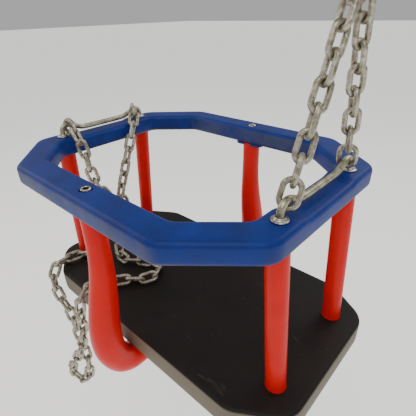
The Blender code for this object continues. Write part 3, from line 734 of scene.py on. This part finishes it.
def linkTree():
    # one chain link as a stadium of round wire with a weld swelling on one side, set on every point
    tree = bpy.data.node_groups.new("chainLinks", "GeometryNodeTree")
    sockets = {}
    for name, kind in (("Links", "NodeSocketGeometry"), ("Inner Length", "NodeSocketFloat"),
                       ("Width", "NodeSocketFloat"),
                       ("Wire", "NodeSocketFloat"), ("Weld", "NodeSocketFloat"),
                       ("Material", "NodeSocketMaterial")):
        sockets[name] = tree.interface.new_socket(name, in_out="INPUT", socket_type=kind).identifier
    tree.interface.new_socket("Geometry", in_out="OUTPUT", socket_type="NodeSocketGeometry")
    given = addNode(tree, "NodeGroupInput")
    calc = "ShaderNodeMath"
    thin = addNode(tree, calc, {"operation": "SUBTRACT"}, links={0: (given, "Width"), 1: (given, "Wire")})
    radius = addNode(tree, calc, {"operation": "MULTIPLY"}, {1: 0.5}, {0: (thin, 0)})
    outer = addNode(tree, calc, {"operation": "ADD"}, links={0: (given, "Inner Length"), 1: (given, "Wire")})
    half = addNode(tree, calc, {"operation": "MULTIPLY"}, {1: 0.5}, {0: (outer, 0)})
    straight = addNode(tree, calc, {"operation": "SUBTRACT"}, links={0: (half, 0), 1: (radius, 0)})
    circle = addNode(tree, "GeometryNodeCurvePrimitiveCircle", inputs={"Resolution": 28},
                     links={"Radius": (radius, 0)})
    where = addNode(tree, "GeometryNodeInputPosition")
    split = addNode(tree, "ShaderNodeSeparateXYZ", links={0: (where, 0)})
    way = addNode(tree, calc, {"operation": "SIGN"}, links={0: (split, "Y")})
    shift = addNode(tree, calc, {"operation": "MULTIPLY"}, links={0: (way, 0), 1: (straight, 0)})
    offset = addNode(tree, "ShaderNodeCombineXYZ", links={"Y": (shift, 0)})
    stadium = addNode(tree, "GeometryNodeSetPosition", links={"Geometry": (circle, "Curve"),
                                                              "Offset": (offset, 0)})
    even = addNode(tree, "GeometryNodeResampleCurve", inputs={"Count": 44}, links={"Curve": (stadium, 0)})
    where2 = addNode(tree, "GeometryNodeInputPosition")
    split2 = addNode(tree, "ShaderNodeSeparateXYZ", links={0: (where2, 0)})
    along = addNode(tree, calc, {"operation": "DIVIDE"}, {1: 1.7 * mm}, {0: (split2, "Y")})
    squared = addNode(tree, calc, {"operation": "MULTIPLY"}, links={0: (along, 0), 1: (along, 0)})
    minus = addNode(tree, calc, {"operation": "MULTIPLY"}, {1: -1.0}, {0: (squared, 0)})
    bell = addNode(tree, calc, {"operation": "EXPONENT"}, links={0: (minus, 0)})
    oneSide = addNode(tree, calc, {"operation": "GREATER_THAN"}, {1: 0.0}, {0: (split2, "X")})
    swell = addNode(tree, calc, {"operation": "MULTIPLY"}, links={0: (bell, 0), 1: (oneSide, 0)})
    more = addNode(tree, calc, {"operation": "MULTIPLY"}, links={0: (swell, 0), 1: (given, "Weld")})
    full = addNode(tree, calc, {"operation": "ADD"}, {1: 1.0}, {0: (more, 0)})
    fat = addNode(tree, "GeometryNodeSetCurveRadius", links={"Curve": (even, 0), "Radius": (full, 0)})
    wireHalf = addNode(tree, calc, {"operation": "MULTIPLY"}, {1: 0.5}, {0: (given, "Wire")})
    profile = addNode(tree, "GeometryNodeCurvePrimitiveCircle", inputs={"Resolution": 14},
                      links={"Radius": (wireHalf, 0)})
    link = addNode(tree, "GeometryNodeCurveToMesh", links={"Curve": (fat, 0), "Profile Curve": (profile, 0)})
    soft = addNode(tree, "GeometryNodeSetShadeSmooth", links={0: (link, 0)})
    upAxis = addNode(tree, "GeometryNodeInputNamedAttribute", {"data_type": "FLOAT_VECTOR"},
                     {"Name": "linkAxis"})
    flat = addNode(tree, "GeometryNodeInputNamedAttribute", {"data_type": "FLOAT_VECTOR"},
                   {"Name": "linkNormal"})
    axes = addNode(tree, "FunctionNodeAxesToRotation", {"primary_axis": "Y", "secondary_axis": "Z"},
                   links={0: (upAxis, 0), 1: (flat, 0)})
    copies = addNode(tree, "GeometryNodeInstanceOnPoints",
                     links={"Points": (given, "Links"), "Instance": (soft, 0), "Rotation": (axes, 0)})
    real = addNode(tree, "GeometryNodeRealizeInstances", links={0: (copies, 0)})
    coat = addNode(tree, "GeometryNodeSetMaterial", links={"Geometry": (real, 0),
                                                           "Material": (given, "Material")})
    addNode(tree, "NodeGroupOutput", links={0: (coat, 0)})
    return tree, sockets


chainTree, chainSockets = linkTree()


def linksOnPoints(name, frames, inner, width):
    mesh = bpy.data.meshes.new(name)
    mesh.from_pydata([tuple((low + high) / 2) for low, high, _ in frames], [], [])
    axis = mesh.attributes.new("linkAxis", "FLOAT_VECTOR", "POINT")
    normal = mesh.attributes.new("linkNormal", "FLOAT_VECTOR", "POINT")
    for i, (low, high, flat) in enumerate(frames):
        axis.data[i].vector = (high - low).normalized()
        normal.data[i].vector = flat
    item = bpy.data.objects.new(name, mesh)
    bpy.context.scene.collection.objects.link(item)
    modifier = item.modifiers.new("links", "NODES")
    modifier.node_group = chainTree
    for socket, value in (("Inner Length", inner), ("Width", width), ("Wire", chainShape["wire"]),
                          ("Weld", chainShape["weld"]), ("Material", galvanised)):
        modifier[chainSockets[socket]] = value
    return applyModifiers(item)


def contactsAlong(line, pitch, count):
    found = [line[0]]
    for point in line:
        while (point - found[-1]).length >= pitch and len(found) <= count:
            found.append(found[-1] + (point - found[-1]).normalized() * pitch)
    while len(found) <= count:
        found.append(found[-1] + (line[-1] - line[-2]).normalized() * pitch)
    return found


def linkFrames(contacts, firstNormal, lastNormal=None):
    # each link is a quarter turn from the last; lastNormal spreads a twist along the run to end square
    frames, carried, before = [], firstNormal, None
    for i, (low, high) in enumerate(zip(contacts, contacts[1:])):
        axis = (high - low).normalized()
        if before is not None:
            carried = before.rotation_difference(axis) @ carried
        carried = (carried - axis * carried.dot(axis)).normalized()
        frames.append((low, high, carried if i % 2 == 0 else axis.cross(carried)))
        before = axis
    if lastNormal is None:
        return frames
    low, high, normal = frames[-1]
    axis = (high - low).normalized()
    wanted = (lastNormal - axis * lastNormal.dot(axis)).normalized()
    twist = math.atan2(normal.cross(wanted).dot(axis), normal.dot(wanted))
    if abs(twist) > math.pi / 2:
        twist -= math.copysign(math.pi, twist)
    share = twist / (len(frames) - 1)
    return [(low, high, Matrix.Rotation(share * i, 3, high - low) @ normal)
            for i, (low, high, normal) in enumerate(frames)]


def makeLeg(body, name, node, first, rest, firstNormal, lastNormal):
    shape = chainShape
    start = first + (rest[0] - first).normalized() * shape["firstPitch"]
    line = smoothLine([start, *rest[1:]], 12)
    contacts = [first, *contactsAlong(line, shape["pitch"], shape["legLinks"] - 1)]
    frames = linkFrames(contacts, firstNormal, lastNormal)
    inner = shape["firstPitch"] + shape["firstSlack"]
    link = linksOnPoints(f"{name}FirstLink", frames[:1], inner, shape["firstWidth"])
    hand(link, body, "galvanised_steel", f"{node}_first_link")
    leg = linksOnPoints(f"{name}Leg", frames[1:], shape["pitch"] + shape["slack"], shape["width"])
    hand(leg, body, "galvanised_steel", f"{node}_leg")
    return contacts[-1]


def makeJoinRing(body, name, node, one, other, along):
    half = (other - one) / 2
    hole = chainShape["joinRing"] - chainShape["joinWire"] / 2 - chainShape["loose"]
    along = (along - half * along.dot(half) / half.length_squared).normalized()
    center = (one + other) / 2 + along * math.sqrt(hole**2 - half.length_squared)
    normal = half.cross(along).normalized()
    first = normal.orthogonal().normalized()
    second = normal.cross(first)
    points = [center + (first * math.cos(a) + second * math.sin(a)) * chainShape["joinRing"]
              for a in (2 * math.pi * i / 64 for i in range(64))]
    ring = toObject(name, barAlong(bmesh.new(), points, [chainShape["joinWire"] / 2] * 64, 20, closed=True),
                    galvanised, 60)
    hand(ring, body, "galvanised_steel", node)
    return center, normal


shackleShape = {
    "half": 9 * mm, "length": 24 * mm, "steps": 24, "pinDrop": 5 * mm, "pinOut": 8 * mm, "pinBore": 2.3 * mm,
    # shares of the straight arm from its end down, and the swelling of the wire into an eye there
    "arm": (0.999, 0.97, 0.9, 0.8, 0.7, 0.6, 0.3), "eye": (0.75, 1.0, 1.12, 1.12, 1.06, 1.0, 1.0),
}


def makeShackle(low, up, across):
    wire, half, length = chainShape["shackleWire"], shackleShape["half"], shackleShape["length"]
    steps, arms, eye = (shackleShape[k] for k in ("steps", "arm", "eye"))
    points = []
    for k in range(steps + 1):
        angle = math.radians(180 + 180 * k / steps)
        points.append(low + across * half * math.cos(angle) + up * half * (1 + math.sin(angle)))
    bow = [points[0] + up * length * t for t in arms] + points
    bow += [points[-1] + up * length * t for t in reversed(arms)]
    radii = [wire / 2 * s for s in (*eye, *[1.0] * (steps + 1), *reversed(eye))]
    item = toObject("rightShackle", barAlong(bmesh.new(), bow, radii, 24), plated, 50)
    reach = half + shackleShape["pinOut"]
    center = low + up * (half + length - shackleShape["pinDrop"])
    ends = [center - across * reach, center + across * reach]
    bore = barAlong(bmesh.new(), ends, [shackleShape["pinBore"]] * 2, 32)
    cutAway(item, [toObject("hole", bore, plated)])
    item.data.set_sharp_from_angle(angle=math.radians(45))
    hand(item, "right_shackle", "zinc_plated_steel", "chain_right_shackle")
    tip = -reach * 0.86
    stops = ((tip, 1.6), (tip + 0.5 * mm, 2.0), (half + 3.6 * mm, 2.0), (half + 3.7 * mm, 3.9),
             (half + 4.1 * mm, 4.2), (reach - 0.2 * mm, 4.2), (reach + 0.4 * mm, 3.7))
    pin = barAlong(bmesh.new(), [center + across * s for s, _ in stops], [r * mm for _, r in stops], 32)
    hand(toObject("rightShacklePin", pin, plated, 40), "right_shackle", "zinc_plated_steel",
         "chain_right_shackle_pin")


rightShape = {
    "apex": (187.5 * mm, 9 * mm, 167 * mm), "spreadWay": (0.4, 0.916, 0), "spread": 6.5 * mm,
    "hump": (182 * mm, 58 * mm, 15 * mm), "below": 4.6 * mm, "up": (0.1, 0, 0.995),
}


def makeRightChain(shape):
    apex = Vector(shape["apex"])
    spread = Vector(shape["spreadWay"]) * shape["spread"]
    humpX, humpY, humpZ = shape["hump"]
    firstTurn = math.radians(chainShape["firstTurn"])
    ends = []
    for name, end in (("Front", -1), ("Back", 1)):
        rod = Vector((humpX, end * humpY, humpZ))
        top = apex + spread * end
        pull = (top - rod).normalized()
        first = rod - pull * shape["below"]
        lastNormal = spread.normalized() * 0.85 + Vector((0, 0, 0.53 * end))
        ends.append(makeLeg("right_chain", f"right{name}", f"chain_right_{name.lower()}", first,
                            [first + pull, first + pull * 0.08, top],
                            Vector((math.sin(firstTurn), -math.cos(firstTurn), 0)), lastNormal))
    up = Vector(shape["up"]).normalized()
    center, facing = makeJoinRing("right_chain", "rightJoinRing", "chain_right_ring", *ends, up)
    wires = (chainShape["joinWire"] + chainShape["shackleWire"]) / 2
    crown = center + up * (chainShape["joinRing"] - wires - 2 * gap)
    makeShackle(crown, up, facing)


leftRoutes = {
    "Front": ((-185.7, -59.5, 16.3), (-167.6, -60, 10.6), (-154.5, -60, -5), (-148, -58.5, -21),
              (-145, -58.5, -43), (-144, -53, -67), (-147, -42.5, -89), (-152.5, -22, -118)),
    "Back": ((-186.0, 57.8, 15.6), (-168.5, 49, 10.4), (-154.8, 34, -5), (-152.5, 23.5, -25),
             (-152.5, 7, -64.7), (-152.8, -8, -104), (-153, -12.5, -118)),
    "frontNormal": (-0.1, -0.92, 0.38), "backNormal": (-0.1, -0.93, 0),
    # from the ring to the seat, round on it and over the front edge, down in a loop and back again
    "tail": ((-153, -20, -160), (-150, -28, -184), (-140, -37, -197), (-121, -48, -198.8),
             (-103, -45, -198.8), (-88, -33, -198.8), (-72, -24, -198.8), (-54, -22, -198.8),
             (-42, -34, -198.8), (-42, -52, -198.8), (-54, -66, -198.8), (-68, -76, -198.8),
             (-77, -90, -198.8), (-87, -106, -198.8), (-95, -122, -197.6), (-95, -137, -203),
             (-95, -143, -220), (-96, -144, -242), (-100, -145, -272), (-108, -149, -305), (-120, -156, -338),
             (-136, -162, -366), (-149, -163, -390), (-150, -160, -412), (-139, -153, -424),
             (-128, -146, -410), (-128, -141, -384), (-135, -138, -356), (-143, -138, -328),
             (-149, -138, -298), (-156, -138, -270), (-168, -142, -248), (-177, -142, -224),
             (-181, -136, -206), (-183, -125, -197.4), (-184, -106, -198.8), (-181, -90, -198.8),
             (-171, -76, -198.8), (-157, -68, -198.8), (-144, -64, -198.8)),
    "seatLinks": 13, "hangingLinks": 21,
}


def makeLeftChain(routes):
    ends = []
    for name, end in (("Front", -1), ("Back", 1)):
        points = [Vector(p) * mm for p in routes[name]]
        firstNormal = Vector(routes[f"{name.lower()}Normal"])
        ends.append(makeLeg("left_chain", f"left{name}", f"chain_left_{name.lower()}", points[0], points[1:],
                            firstNormal, Vector((0, 0.8, -0.6 * end))))
    down = Vector((0, -0.1, -1))
    center, _ = makeJoinRing("left_chain", "leftJoinRing", "chain_left_ring", *ends, down)
    low = center + down.normalized() * (chainShape["joinRing"] - chainShape["joinWire"] / 2)
    line = smoothLine([low, *(Vector(p) * mm for p in routes["tail"])], 12)
    length = sum((b - a).length for a, b in zip(line, line[1:]))
    contacts = contactsAlong(line, chainShape["pitch"], int(length / chainShape["pitch"]))
    frames = linkFrames(contacts, Vector((0, -1, 0)))
    stops = (0, routes["seatLinks"], routes["seatLinks"] + routes["hangingLinks"], len(frames))
    names = (("seatChain", "seat_run"), ("hangingChain", "hanging_loop"), ("returnChain", "return_run"))
    for (name, node), start, stop in zip(names, stops, stops[1:]):
        inner = chainShape["pitch"] + chainShape["slack"]
        run = linksOnPoints(name, frames[start:stop], inner, chainShape["width"])
        hand(run, "cage", "galvanised_steel", f"chain_left_{node}")


makeRightChain(rightShape)
makeLeftChain(leftRoutes)
print("the chains are made")
